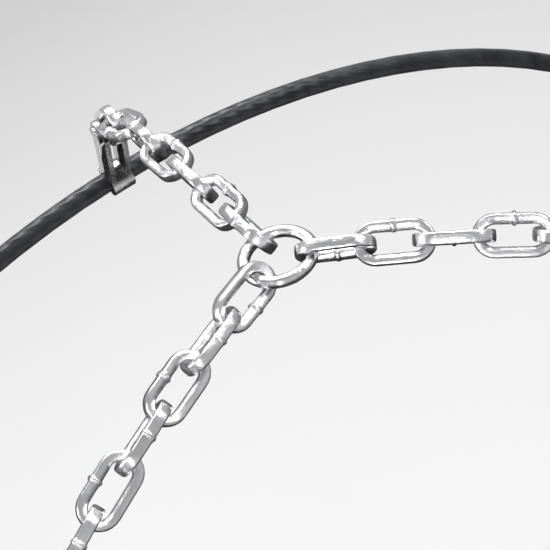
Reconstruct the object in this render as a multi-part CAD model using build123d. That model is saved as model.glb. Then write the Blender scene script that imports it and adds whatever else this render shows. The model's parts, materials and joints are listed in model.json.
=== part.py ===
"""Snow chain for one car wheel, in the shape it has on the tyre.

A diamond net of welded D-section links and round junction rings covers the tread. It hangs on a
sheathed steel cable behind the wheel and on a side chain with a closing hook and a tension lock in
front of it. The frame has the wheel axis along +Y, the wheel centre at the origin and +Z up.
Lengths are millimetres, angles are degrees. Each node is one STEP file of one or more solids.
"""
from build123d import *
import os
from math import cos, pi, radians, sin, sqrt

# The tyre that the net fits, 225/50 R17. It isn't part of the object.
TYRE_RADIUS = 328.0
CROWN_RADIUS = 600.0        # curvature of the tread across its width
SHOULDER_START = 82.0       # half width of the tread, along its surface
SHOULDER_RADIUS = 48.0
AXIS_HEIGHT = 5.0           # chain centre line above the rubber

# Tread link: D-section wire, flat face outwards
LINK_LENGTH = 22.8
LINK_WIDTH = 12.2
WIRE_THICK = 3.1            # in the link's plane
WIRE_WIDTH = 3.6            # across the link's plane
WELD_PROUD = 0.4
WELD_LENGTH = 1.2
PITCH = 16.3                # the bows of neighbours pass with 0.3 between them
BOW_GAP = 0.15              # from a contact point to each wire beside it

# Round welded ring where three strands meet
RING_CENTRELINE = 9.85
RING_WIRE = 3.6
RING_REACH = RING_CENTRELINE - RING_WIRE / 2 - 0.1    # ring centre to a strand's first contact point

# Net
CELLS = 8
SHORT_LINKS = 6             # links in a short diagonal
LONG_LINKS = 10             # links in a long diagonal
INNER_LINKS = 7             # links from an inner row ring to the cable
OUTER_LINKS = 5             # links from an outer row ring to the side chain
INNER_ROW = 4.0             # place of the inner row of rings across the tread
SHOULDER_AIM = 220.0         # a cross strand is aimed this far past its ring
RING_ROLL = 62.0            # roll of a link that holds a ring, from the ring's plane
EVEN_DRIFT = 2 * RING_ROLL - 180 + 22.0    # extra roll over a strand with an even number of links
DRIFT_EASE = 0.7
WELD_TURNED = {"cross": (2,), "short": (2, 3), "long": (2, 5, 6, 9), "front": (1, 4, 5)}

# Side chain: round wire
SIDE_WIRE = 3.8
SIDE_WIDTH = 13.2
SIDE_PER_SPAN = 9

# Inner cable
CABLE_RADIUS = 282.0
CABLE_WIRE = 7.0
CABLE_OPENING = 202.5       # middle of the cable's opening, degrees from the top
CABLE_GAP_HALF = 7.4        # half of the opening, degrees
FERRULE_RADIUS = 5.8
FERRULE_ARC = 6.2           # degrees

# Cable clip: two plates on a sleeve round the cable, with a pin for the last tread link
CLIP_PLATE = 2.0
CLIP_NOSE = 4.6
CLIP_EYE = 5.6
CLIP_PIN = 4.0
CLIP_SIDE_GAP = 0.35
PIN_HEAD = 1.2              # height of a pin's head, and its rim over the pin

# Pin closure of the cable
FORK_LENGTH = 16.0
FORK_SLOT = 4.6
FORK_WIDTH = 12.0
FORK_PIN_X = 11.0
FORK_ROOT = 4.0             # solid length behind the slot, and the fork's end radius
CUT_SPARE = 1.0             # extra length of a cut past a face
CLOSURE_PIN = 4.0
HOOK_THICK = 4.0
HOOK_RIM = 3.4
PIN_CLEARANCE = 0.25

# Closing hook of the side chain
SIDE_HOOK_THICK = 3.0
SIDE_HOOK_EYE = 2.9
SIDE_HOOK_RIM = 3.4
EYE_EASE = 0.4              # room for a bow's curve in the eye of a plate
LINKS_BEFORE_HOOK = 5
LINKS_AFTER_HOOK = 3

# Tension lock, in its own frame: X along the chain, Y towards the hub, Z away from the tyre
LOCK_BACK = -34.0
LOCK_FRONT = 23.0
LOCK_OUT = -19.2
LOCK_IN = 17.0
LOCK_BOTTOM = -4.5
LOCK_FLOOR = 2.5
LOCK_WALL = 3.0
LOCK_RIM = 12.4             # top of the walls
LOCK_COVER = 2.5
LOCK_CORNER = 4.0           # rounding of the lock's upright edges
COVER_CHAMFER = 0.8
CHAMBER_END = 10.0          # from the lock's ends to its closed chamber
WINDOW = (-4.2, 11.5)       # pawl window from the pawl's pivot, along X
WINDOW_HALF = 3.4
LANE = -9.0                 # the tension chain's lane
LANE_HALF = 7.2
LANE_HEIGHT = 5.2
LINKS_TO_LOCK = 3
LINKS_IN_LOCK = 3
EYE_LANE = 9.0
EYE_X = 30.0
EYE_RADIUS = 2.9
EYE_RIM = 3.6
TONGUE_Z = 3.0
TONGUE = 2.5
EYE_LINKS = 3
RIVET_RADIUS = 1.6
RIVET_HEAD = 1.0
RIVET_RIM = 1.3
RIVET_END = 5.0             # from the lock's ends to the rivets
RIVET_ROWS = (13.0, 5.5)    # Y
PAWL_PIVOT = (-24.0, 10.4)  # X and Z
PAWL_HUB = 2.9
PAWL_WIDTH = 4.4
PAWL_PLAY = 0.1
PAWL_TOOTH = ((-2.6, -1.2), (1.2, -5.0), (4.6, -7.2), (6.2, -6.4), (7.2, -5.2), (4.6, -1.0), (2.4, 1.6))
PAWL_LEVER = ((-2.0, 2.0), (2.4, 1.4), (6.5, 5.0), (24.0, 5.0), (26.0, 8.0), (4.0, 7.0))
SPRING_LEAF = 0.35
SPRING_HALF = 1.6
SPRING_FIXED = 30.0         # fixed end, bend and tip from the pawl's pivot
SPRING_BEND = 11.5
SPRING_TIP = (6.6, 0.4)
PAWL_PIN = 1.5
TAIL_HOOK_RIM = 3.0
TAIL_LINKS = 2
TAIL_HOOK_SPAN = 11.0

Z_AXIS = Vector(0, 0, 1)
Y_AXIS = Vector(0, 1, 0)


# ---------------------------------------------------------------- surface that the net lies on
def profile(s):
    """Axial place, radius and tilt of the net at the distance s across the tread."""
    side = 1 if s >= 0 else -1
    reach = abs(s)
    crown = TYRE_RADIUS + AXIS_HEIGHT
    edge_tilt = SHOULDER_START / CROWN_RADIUS
    edge_y = CROWN_RADIUS * sin(edge_tilt)
    edge_r = crown - CROWN_RADIUS * (1 - cos(edge_tilt))
    if reach <= SHOULDER_START:
        tilt = reach / CROWN_RADIUS
        return side * CROWN_RADIUS * sin(tilt), crown - CROWN_RADIUS * (1 - cos(tilt)), side * tilt
    tilt = min(edge_tilt + (reach - SHOULDER_START) / SHOULDER_RADIUS, pi / 2)
    y = edge_y + SHOULDER_RADIUS * (sin(tilt) - sin(edge_tilt))
    r = edge_r - SHOULDER_RADIUS * (cos(edge_tilt) - cos(tilt))
    past_wall = max(0.0, reach - SHOULDER_START - (pi / 2 - edge_tilt) * SHOULDER_RADIUS)
    return side * y, r - past_wall, side * tilt


def at_surface(turn, s):
    """Point at the angle turn from the top, clockwise from in front, and the distance s across."""
    y, r, _ = profile(s)
    return Vector(r * sin(turn), y, r * cos(turn))


def outward(turn, s):
    """Unit normal of the net's surface, away from the tyre."""
    tilt = profile(s)[2]
    return Vector(cos(tilt) * sin(turn), sin(tilt), cos(tilt) * cos(turn))


def walk(start, end, distances):
    """Points and normals at the given distances along the straight route between two places."""
    steps = 600
    points, normals, run = [], [], [0.0]
    for i in range(steps + 1):
        t = i / steps
        turn = start[0] + (end[0] - start[0]) * t
        s = start[1] + (end[1] - start[1]) * t
        points.append(at_surface(turn, s))
        normals.append(outward(turn, s))
        if i:
            run.append(run[-1] + (points[-1] - points[-2]).length)
    found, i = [], 0
    for distance in distances:
        while i < steps - 1 and run[i + 1] < distance:
            i += 1
        t = (distance - run[i]) / (run[i + 1] - run[i])
        found.append((points[i] + (points[i + 1] - points[i]) * t, normals[i]))
    return found, run[-1]


# ---------------------------------------------------------------- links and rings
def wire_face(plane, grow=0.0):
    """D section: local X points out of the link, and the round side is the link's inside."""
    half = WIRE_WIDTH / 2 + grow
    outer = WIRE_THICK / 2 + grow
    inner = -WIRE_THICK / 2 - grow
    shoulder = inner + half
    flat = Polyline((shoulder, -half), (outer, -half), (outer, half), (shoulder, half))
    round_side = ThreePointArc((shoulder, half), (inner, 0), (shoulder, -half))
    return plane * make_face([flat, round_side])


def tread_link():
    """Link along X in the XY plane, with its weld on the +Y leg."""
    leg_y = LINK_WIDTH / 2 - WIRE_THICK / 2
    bow_x = LINK_LENGTH / 2 - LINK_WIDTH / 2
    link = None
    for side in (1, -1):
        start = Plane(origin=(-bow_x, side * leg_y, 0), x_dir=(0, side, 0), z_dir=(1, 0, 0))
        leg = extrude(wire_face(start), 2 * bow_x)
        bow_plane = Plane(origin=(side * bow_x, side * leg_y, 0), x_dir=(0, side, 0), z_dir=(1, 0, 0))
        bow = revolve(wire_face(bow_plane), Axis((side * bow_x, 0, 0), (0, 0, 1)), -180)
        link = leg + bow if link is None else link + leg + bow
    collar = Plane(origin=(-WELD_LENGTH / 2, leg_y, 0), x_dir=(0, 1, 0), z_dir=(1, 0, 0))
    link = link + extrude(wire_face(collar, WELD_PROUD), WELD_LENGTH)
    return link.solid()


def round_link(length, width, wire):
    """Link of round wire along X in the XY plane."""
    leg_y = (width - wire) / 2
    bow_x = (length - width) / 2
    link = None
    for side in (1, -1):
        start = Plane(origin=(-bow_x, side * leg_y, 0), x_dir=(0, side, 0), z_dir=(1, 0, 0))
        leg = extrude(start * Circle(wire / 2), 2 * bow_x)
        bow_plane = Plane(origin=(side * bow_x, side * leg_y, 0), x_dir=(0, side, 0), z_dir=(1, 0, 0))
        bow = revolve(bow_plane * Circle(wire / 2), Axis((side * bow_x, 0, 0), (0, 0, 1)), -180)
        link = leg + bow if link is None else link + leg + bow
    return link.solid()


def laid(solid, start, end, normal, roll):
    """The solid with its X axis from start to end and its plane turned by roll from the surface."""
    along = (end - start).normalized()
    across = normal.cross(along).normalized()
    lift = along.cross(across)
    turn = radians(roll)
    plane_normal = lift * cos(turn) + across * sin(turn)
    frame = Plane(origin=(start + end) * 0.5, x_dir=along, z_dir=plane_normal)
    return solid.moved(frame.location)


def strand(link, start, end, first, pitch, rolls):
    """Links along a route. The first contact point is at the distance first from its start."""
    distances = [first + pitch * k for k in range(len(rolls) + 1)]
    joints, _ = walk(start, end, distances)
    links = []
    for k, roll in enumerate(rolls):
        normal = joints[k][1] + joints[k + 1][1]
        links.append(laid(link, joints[k][0], joints[k + 1][0], normal, roll))
    return links, [joint[0] for joint in joints]


def ring_rolls(count, first_roll):
    """Rolls of a strand between two rings: quarter turns, with a drift where the count is even."""
    drift = 0.0 if count % 2 else EVEN_DRIFT
    return [first_roll + 90 * k + drift * (k / (count - 1)) ** DRIFT_EASE for k in range(count)]


def welds_turned(rolls, kind):
    """The rolls, with half a turn more for the links whose weld is on the other leg."""
    return [roll + 180 * (k in WELD_TURNED[kind]) for k, roll in enumerate(rolls, start=1)]


def clip_rolls(count, first_roll):
    """Rolls of a strand whose last link stands on edge in a cable clip."""
    drift = -90.0 - first_roll
    return [first_roll + 90 * k + drift * k / (count - 1) for k in range(count)]


def ring_at(turn, s):
    """Junction ring lying on the surface."""
    frame = Plane(origin=at_surface(turn, s), z_dir=outward(turn, s))
    return Solid.make_torus(RING_CENTRELINE, RING_WIRE / 2).moved(frame.location)


# ---------------------------------------------------------------- layout of the net
def net_layout():
    """Turn of a short diagonal and place of the outer row, from the lengths of both diagonals."""
    short = 2 * RING_REACH + SHORT_LINKS * PITCH
    long = 2 * RING_REACH + LONG_LINKS * PITCH
    mean_radius = TYRE_RADIUS + AXIS_HEIGHT - 1.0
    cell = 2 * pi / CELLS * mean_radius
    short_run = (cell - (long ** 2 - short ** 2) / cell) / 2
    return short_run / mean_radius, INNER_ROW + sqrt(short ** 2 - short_run ** 2)


SHORT_TURN, OUTER_ROW = net_layout()
CELL_TURN = 2 * pi / CELLS
SIDE_RING_S = OUTER_ROW + 2 * RING_REACH + OUTER_LINKS * PITCH


def between_rings(link, start, end, count, kind):
    """Strand between two rings, with its slack shared between its links."""
    _, length = walk(start, end, [0.0])
    pitch = (length - 2 * RING_REACH) / count
    rolls = welds_turned(ring_rolls(count, RING_ROLL), kind)
    return strand(link, start, end, RING_REACH, pitch, rolls)[0]


def cell_strands(link, cell):
    """Rings, strands and clip place of one cell, which starts at its inner row ring."""
    turn = CELL_TURN * cell
    inner = (turn, INNER_ROW)
    left = (turn - SHORT_TURN, OUTER_ROW)
    right = (turn + CELL_TURN - SHORT_TURN, OUTER_ROW)
    side = (left[0], SIDE_RING_S)
    over_shoulder = (turn, INNER_ROW - SHOULDER_AIM)
    cross_rolls = welds_turned(clip_rolls(INNER_LINKS, -RING_ROLL), "cross")
    cross, joints = strand(link, inner, over_shoulder, RING_REACH, PITCH, cross_rolls)
    pull = (joints[-1] - joints[-2]).normalized()
    return {
        "inner_ring": ring_at(*inner),
        "outer_ring": ring_at(*left),
        "side_ring": ring_at(*side),
        "short": between_rings(link, inner, left, SHORT_LINKS, "short"),
        "long": between_rings(link, inner, right, LONG_LINKS, "long"),
        "cross": cross,
        "front": between_rings(link, left, side, OUTER_LINKS, "front"),
        "clip_pin": joints[-1] - pull * (BOW_GAP + CLIP_PIN / 2),
    }


# ---------------------------------------------------------------- cable behind the wheel
def sidewall_y():
    """Distance of a sidewall's chain centre line from the wheel's middle plane."""
    return profile(SIDE_RING_S)[0]


def cable_arc(section, start, sweep):
    """A section round the cable's centre, swept along the cable's circle from the angle start."""
    plane = Plane(origin=(0, -sidewall_y(), CABLE_RADIUS), x_dir=(0, 1, 0), z_dir=(1, 0, 0))
    wheel_axis = Axis((0, 0, 0), (0, 1, 0))
    return revolve(plane * section, wheel_axis, sweep).rotate(wheel_axis, start)


def inner_cable():
    return cable_arc(Circle(CABLE_WIRE / 2), CABLE_OPENING + CABLE_GAP_HALF, 360 - 2 * CABLE_GAP_HALF).solid()


def cable_end_frame(side):
    """Frame at a cable end: origin on the cable's circle, X along it into the gap."""
    angle = radians(CABLE_OPENING - side * CABLE_GAP_HALF)
    origin = Vector(CABLE_RADIUS * sin(angle), -sidewall_y(), CABLE_RADIUS * cos(angle))
    return Plane(origin=origin, x_dir=Vector(cos(angle), 0, -sin(angle)) * side, z_dir=(0, -1, 0))


def cable_ferrule(side):
    """Crimped tube on a cable end, with a fork for the closing pin."""
    tube_section = Circle(FERRULE_RADIUS) - Circle(CABLE_WIRE / 2)
    start = CABLE_OPENING + (-CABLE_GAP_HALF - FERRULE_ARC if side > 0 else CABLE_GAP_HALF)
    tube = cable_arc(tube_section, start, FERRULE_ARC)
    block = Pos(FORK_LENGTH / 2, 0, 0) * Box(FORK_LENGTH, FORK_WIDTH, FORK_WIDTH)
    block = fillet(block.edges().filter_by(Axis.Z).group_by(Axis.X)[-1], FORK_ROOT)
    slot = Pos(FORK_LENGTH / 2 + FORK_ROOT, 0, 0) * Box(FORK_LENGTH, FORK_WIDTH + CUT_SPARE, FORK_SLOT)
    hole = Pos(FORK_PIN_X, 0, 0) * Cylinder(CLOSURE_PIN / 2, FORK_WIDTH + CUT_SPARE)
    fork = (block - slot - hole).solid().moved(cable_end_frame(side).location)
    return (tube + fork).solid()


def cable_pin(side):
    """Pin through a fork, with a low head at each side."""
    pin = Cylinder(CLOSURE_PIN / 2, FORK_WIDTH)
    for face in (1, -1):
        pin = pin + Pos(0, 0, face * (FORK_WIDTH + PIN_HEAD) / 2) * Cylinder(CLOSURE_PIN / 2 + PIN_HEAD, PIN_HEAD)
    return (Pos(FORK_PIN_X, 0, 0) * pin).solid().moved(cable_end_frame(side).location)


def hook_plate(span, thick, eye_radius, mouth_radius, rim):
    """Flat hook in the XY plane: an eye at the origin, and a mouth open towards -Y at X = span."""
    outline = Circle(eye_radius + rim) + Pos(span, 0) * Circle(mouth_radius + rim)
    outline = outline + Pos(span / 2, 0) * Rectangle(span, 2 * (min(eye_radius, mouth_radius) + rim))
    mouth = Pos(span, 0) * Circle(mouth_radius)
    way_in = Pos(span, -mouth_radius - rim) * Rectangle(2 * mouth_radius, 2 * (mouth_radius + rim))
    return extrude(outline - Circle(eye_radius) - mouth - way_in, thick / 2, both=True)


def cable_hook():
    """Hook plate that turns on one fork's pin and catches the other's."""
    eye = cable_end_frame(1).from_local_coords(Vector(FORK_PIN_X, 0, 0))
    catch = cable_end_frame(-1).from_local_coords(Vector(FORK_PIN_X, 0, 0))
    radius = CLOSURE_PIN / 2
    plate = hook_plate((catch - eye).length, HOOK_THICK, radius + 0.05, radius + PIN_CLEARANCE, HOOK_RIM)
    frame = Plane(origin=eye, x_dir=catch - eye, z_dir=(0, 1, 0))
    return plate.solid().moved(frame.location)


def clip_frame(pin_centre):
    """Frame of a clip: origin at its pin, X to the cable, Z along the cable."""
    radial = Vector(pin_centre.X, 0, pin_centre.Z).normalized()
    cable_point = radial * CABLE_RADIUS + Vector(0, -sidewall_y(), 0)
    along = cable_point - pin_centre
    return Plane(origin=pin_centre, x_dir=along, z_dir=Y_AXIS.cross(radial)), along.length


def cable_clip(pin_centre):
    """Two plates and the sleeve that joins them round the cable, with holes for the link's pin."""
    frame, reach = clip_frame(pin_centre)
    gap = WIRE_WIDTH / 2 + CLIP_SIDE_GAP
    outline = Circle(CLIP_NOSE) + Pos(reach, 0) * Circle(CLIP_EYE)
    outline = outline + Pos(reach / 2, 0) * Rectangle(reach, 1.8 * CLIP_NOSE)
    cable_hole = Pos(reach, 0) * Circle(CABLE_WIRE / 2 + 0.2)
    clip = extrude(Pos(reach, 0) * Circle(CLIP_EYE) - cable_hole, gap + 0.5, both=True)
    plate = outline - cable_hole - Circle(CLIP_PIN / 2)
    for side in (1, -1):
        clip = clip + Pos(0, 0, side * (gap + CLIP_PLATE / 2)) * extrude(plate, CLIP_PLATE / 2, both=True)
    return clip.solid().moved(frame.location)


def clip_pin(pin_centre):
    """Riveted pin of a clip."""
    frame, _ = clip_frame(pin_centre)
    half = WIRE_WIDTH / 2 + CLIP_SIDE_GAP + CLIP_PLATE
    pin = Cylinder(CLIP_PIN / 2, 2 * half)
    for side in (1, -1):
        pin = pin + Pos(0, 0, side * (half + PIN_HEAD / 2)) * Cylinder(CLIP_PIN / 2 + PIN_HEAD, PIN_HEAD)
    return pin.solid().moved(frame.location)


# ---------------------------------------------------------------- side chain in front of the wheel
def side_ring_centre(cell):
    """Centre of a cell's ring on the side chain."""
    return at_surface(CELL_TURN * cell - SHORT_TURN, SIDE_RING_S)


SIDE_CHORD = (side_ring_centre(1) - side_ring_centre(0)).length
SIDE_PITCH = (SIDE_CHORD - 2 * RING_REACH) / SIDE_PER_SPAN
SIDE_LENGTH = SIDE_PITCH + 2 * BOW_GAP + 2 * SIDE_WIRE


def span_frame(cell):
    """Frame of a span of side chain: origin at its middle, X along it, Y to the hub, Z outwards."""
    first, last = side_ring_centre(cell), side_ring_centre(cell + 1)
    return Plane(origin=(first + last) * 0.5, x_dir=last - first, z_dir=(0, 1, 0))


def chained(link, points, first_roll):
    """Links between contact points in a span's frame, standing at a roll of 90 and flat at 0."""
    return [laid(link, points[k], points[k + 1], Z_AXIS, first_roll + 90 * k) for k in range(len(points) - 1)]


def stepped(start, target, count):
    """Contact points one pitch apart from start towards target."""
    step = (target - start).normalized() * SIDE_PITCH
    return [start + step * k for k in range(count + 1)]


def placed(solids, frame):
    return [solid.moved(frame.location) for solid in solids]


def plain_span(link, cell):
    """A whole span of side chain between two rings."""
    start = Vector(-SIDE_CHORD / 2 + RING_REACH, 0, 0)
    return placed(chained(link, stepped(start, Vector(0, 0, 0), SIDE_PER_SPAN), 90), span_frame(cell))


def hooked_span(link, cell):
    """The span that opens: its links, and the closing hook between them."""
    edge = SIDE_CHORD / 2 - RING_REACH
    before = stepped(Vector(-edge, 0, 0), Vector(0, 0, 0), LINKS_BEFORE_HOOK)
    after = stepped(Vector(edge, 0, 0), Vector(0, 0, 0), LINKS_AFTER_HOOK)
    eye_x = before[-1].X + SIDE_HOOK_EYE - EYE_EASE
    span = after[-1].X - SIDE_HOOK_EYE + EYE_EASE - eye_x
    hook = Pos(eye_x, 0, 0) * hook_plate(span, SIDE_HOOK_THICK, SIDE_HOOK_EYE, SIDE_HOOK_EYE, SIDE_HOOK_RIM)
    frame = span_frame(cell)
    links = chained(link, before, 90) + chained(link, after, 90)
    return placed(links, frame), hook.solid().moved(frame.location)


# ---------------------------------------------------------------- tension lock
def lock_box(x0, x1, y0, y1, z0, z1):
    return Pos((x0 + x1) / 2, (y0 + y1) / 2, (z0 + z1) / 2) * Box(x1 - x0, y1 - y0, z1 - z0)


def rivet_places():
    """X and Y of the four rivets, in solid corners beside the closed chamber."""
    return [(x, y) for y in RIVET_ROWS for x in (LOCK_BACK + RIVET_END, LOCK_FRONT - RIVET_END)]


def lock_base():
    """Housing with the chain's open lane, a closed chamber towards the hub and the fixed eye."""
    body = lock_box(LOCK_BACK, LOCK_FRONT, LOCK_OUT, LOCK_IN, LOCK_BOTTOM, LOCK_RIM)
    body = fillet(body.edges().filter_by(Axis.Z), LOCK_CORNER)
    floor_top = LOCK_BOTTOM + LOCK_FLOOR
    lane_in = LANE + LANE_HALF
    open_top = LOCK_RIM + CUT_SPARE
    lane = lock_box(LOCK_BACK - CUT_SPARE, LOCK_FRONT + CUT_SPARE, LANE - LANE_HALF, lane_in, floor_top, open_top)
    chamber = lock_box(LOCK_BACK + CHAMBER_END, LOCK_FRONT - CHAMBER_END, lane_in + LOCK_WALL,
                       LOCK_IN - LOCK_WALL, floor_top, open_top)
    body = body - lane - chamber
    half = EYE_RADIUS + EYE_RIM
    tongue = lock_box(LOCK_FRONT - TONGUE, EYE_X, EYE_LANE - half, EYE_LANE + half, TONGUE_Z - TONGUE / 2,
                      TONGUE_Z + TONGUE / 2)
    tongue = tongue + Pos(EYE_X, EYE_LANE, TONGUE_Z) * Cylinder(half, TONGUE)
    body = body + tongue - Pos(EYE_X, EYE_LANE, TONGUE_Z) * Cylinder(EYE_RADIUS, TONGUE + CUT_SPARE)
    for x, y in rivet_places():
        body = body - Pos(x, y, 0) * Cylinder(RIVET_RADIUS, 2 * open_top)
    return (body - pawl_pin_bar(PAWL_PIN)).solid()


def pawl_pin_bar(radius):
    """Bar along Y through the outer wall and the lane's inner wall."""
    x, z = PAWL_PIVOT
    y0, y1 = LOCK_OUT, LANE + LANE_HALF + LOCK_WALL
    return Pos(x, (y0 + y1) / 2, z) * Rot(90, 0, 0) * Cylinder(radius, y1 - y0)


def lock_cover():
    """Cover plate with the pawl's window and the rivet holes."""
    plate = lock_box(LOCK_BACK, LOCK_FRONT, LOCK_OUT, LOCK_IN, LOCK_RIM, LOCK_RIM + LOCK_COVER)
    plate = fillet(plate.edges().filter_by(Axis.Z), LOCK_CORNER)
    plate = chamfer(plate.faces().sort_by(Axis.Z)[-1].edges(), COVER_CHAMFER)
    x = PAWL_PIVOT[0]
    top = LOCK_RIM + LOCK_COVER
    plate = plate - lock_box(x + WINDOW[0], x + WINDOW[1], LANE - WINDOW_HALF, LANE + WINDOW_HALF,
                             LOCK_RIM - CUT_SPARE, top + CUT_SPARE)
    for x, y in rivet_places():
        plate = plate - Pos(x, y, LOCK_RIM) * Cylinder(RIVET_RADIUS, 2 * top)
    return plate.solid()


def lock_rivets():
    """Four rivets through the cover and the base."""
    low, high = LOCK_BOTTOM, LOCK_RIM + LOCK_COVER
    rivets = []
    for x, y in rivet_places():
        shank = Pos(x, y, (low + high) / 2) * Cylinder(RIVET_RADIUS, high - low)
        head = Pos(x, y, high + RIVET_HEAD / 2) * Cylinder(RIVET_RADIUS + RIVET_RIM, RIVET_HEAD)
        rivets.append((shank + head).solid())
    return rivets


def lock_pawl():
    """Pawl in the XZ plane: hub, tooth down into a flat link, and thumb lever above the cover."""
    x, z = PAWL_PIVOT
    shape = Circle(PAWL_HUB)
    for outline in (PAWL_TOOTH, PAWL_LEVER):
        shape = shape + make_face(Polyline(*outline, close=True))
    shape = Pos(x, z) * (shape - Circle(PAWL_PIN + PAWL_PLAY))
    pawl = extrude(Plane.XZ * shape, PAWL_WIDTH / 2, both=True)
    return (Pos(0, LANE, 0) * pawl).solid()


def pawl_spring():
    """Leaf spring fixed under the cover, bent down onto the pawl's back."""
    x, z = PAWL_PIVOT
    end, bend, tip = x + SPRING_FIXED, x + SPRING_BEND, (x + SPRING_TIP[0], z + SPRING_TIP[1])
    top, under = LOCK_RIM, LOCK_RIM - SPRING_LEAF
    outline = Polyline((end, top), (bend, top), (tip[0], tip[1] + SPRING_LEAF), (tip[0] - SPRING_LEAF, tip[1]),
                       (bend + SPRING_LEAF / 2, under), (end, under), close=True)
    return (Pos(0, LANE, 0) * extrude(Plane.XZ * make_face(outline), SPRING_HALF, both=True)).solid()


def tension_points():
    """Contact points of the tension chain: from its ring to the lock, and then through it."""
    start = Vector(-SIDE_CHORD / 2 + RING_REACH, 0, 0)
    mouth = Vector(start.X + LINKS_TO_LOCK * SIDE_PITCH - 1.0, LANE, LANE_HEIGHT)
    points = stepped(start, mouth, LINKS_TO_LOCK)
    last = points[-1]
    points[-1] = Vector(last.X, LANE, LANE_HEIGHT)
    return points + stepped(points[-1], points[-1] + Vector(100, 0, 0), LINKS_IN_LOCK)[1:]


def eye_points():
    """Contact points from the lock's fixed eye to the next ring."""
    start = Vector(EYE_X + EYE_RADIUS - EYE_EASE, EYE_LANE, TONGUE_Z)
    ring = Vector(SIDE_CHORD / 2, 0, 0)
    end = ring + (start - ring).normalized() * RING_REACH
    return [start + (end - start) * (k / EYE_LINKS) for k in range(EYE_LINKS + 1)]


def tail(link, frame):
    """Free end of the tension chain, hanging straight down: its links, its hook and their pivots."""
    pivot = frame.from_local_coords(tension_points()[-1])
    down = Vector(0, 0, -1)
    pieces, pivots = [], []
    for k in range(TAIL_LINKS):
        pivots.append(pivot)
        pieces.append(laid(link, pivot, pivot + down * SIDE_PITCH, Y_AXIS, 90 + 90 * k))
        pivot = pivot + down * SIDE_PITCH
    pivots.append(pivot)
    eye = pivot + down * (SIDE_HOOK_EYE - EYE_EASE)
    hook = hook_plate(TAIL_HOOK_SPAN, SIDE_HOOK_THICK, SIDE_HOOK_EYE, SIDE_HOOK_EYE, TAIL_HOOK_RIM)
    hook_frame = Plane(origin=eye, x_dir=down, z_dir=down.cross(Y_AXIS))
    pieces.append(hook.solid().moved(hook_frame.location))
    return pieces, pivots


# ---------------------------------------------------------------- nodes
LOCK_CELL = 2
HOOK_CELL = 4


def build_nodes():
    """Every node's name and its solids."""
    link = tread_link()
    side_link = round_link(SIDE_LENGTH, SIDE_WIDTH, SIDE_WIRE)
    cells = [cell_strands(link, cell) for cell in range(CELLS)]
    nodes = {"junction_ring": [cells[0]["inner_ring"]]}
    for kind, name in (("cross", "shoulder_link"), ("short", "short_diagonal_link"), ("long", "long_diagonal_link")):
        for k, solid in enumerate(cells[0][kind], start=1):
            nodes[f"{name}_{k}"] = [solid]
    others = cells[1:]
    nodes["inner_row_rings"] = [cell["inner_ring"] for cell in others]
    nodes["outer_row_rings"] = [cell["outer_ring"] for cell in cells]
    nodes["side_rings"] = [cell["side_ring"] for cell in cells]
    nodes["short_diagonals"] = [solid for cell in others for solid in cell["short"]]
    nodes["long_diagonals"] = [solid for cell in others for solid in cell["long"]]
    nodes["inner_cross_strands"] = [solid for cell in others for solid in cell["cross"]]
    nodes["outer_cross_strands"] = [solid for cell in cells for solid in cell["front"]]

    nodes["inner_cable"] = [inner_cable()]
    nodes["cable_ferrule_hook"] = [cable_ferrule(1)]
    nodes["cable_ferrule_catch"] = [cable_ferrule(-1)]
    nodes["cable_pins"] = [cable_pin(1), cable_pin(-1)]
    nodes["cable_hook"] = [cable_hook()]
    nodes["cable_clip"] = [cable_clip(cells[0]["clip_pin"])]
    nodes["cable_clip_pin"] = [clip_pin(cells[0]["clip_pin"])]
    nodes["cable_clips"] = [cable_clip(cell["clip_pin"]) for cell in others]
    nodes["cable_clip_pins"] = [clip_pin(cell["clip_pin"]) for cell in others]

    spans = [plain_span(side_link, cell) for cell in range(CELLS) if cell not in (LOCK_CELL, HOOK_CELL)]
    hook_links, closing_hook = hooked_span(side_link, HOOK_CELL)
    lock_frame = span_frame(LOCK_CELL)
    nodes["side_chain"] = [solid for span in spans for solid in span] + hook_links
    nodes["closing_hook"] = [closing_hook]
    nodes["tension_chain"] = placed(chained(side_link, tension_points(), 90), lock_frame)
    nodes["lock_eye_chain"] = placed(chained(side_link, eye_points(), 90), lock_frame)
    nodes["lock_base"] = placed([lock_base()], lock_frame)
    nodes["lock_cover"] = placed([lock_cover()], lock_frame)
    nodes["lock_rivets"] = placed(lock_rivets(), lock_frame)
    nodes["lock_pawl"] = placed([lock_pawl()], lock_frame)
    nodes["pawl_pin"] = placed([pawl_pin_bar(PAWL_PIN).solid()], lock_frame)
    nodes["pawl_spring"] = placed([pawl_spring()], lock_frame)
    pieces, _ = tail(side_link, lock_frame)
    for k, solid in enumerate(pieces[:-1], start=1):
        nodes[f"tail_link_{k}"] = [solid]
    nodes["tail_hook"] = [pieces[-1]]
    return nodes


def main():
    os.makedirs("parts", exist_ok=True)
    for name, solids in build_nodes().items():
        shape = solids[0] if len(solids) == 1 else Compound(children=solids)
        export_step(shape, f"parts/{name}.step")


if __name__ == "__main__":
    main()
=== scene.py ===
"""Looks of a car wheel's snow chain, laid out as an add-on: chain links, junction rings, cable and lock."""

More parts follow.
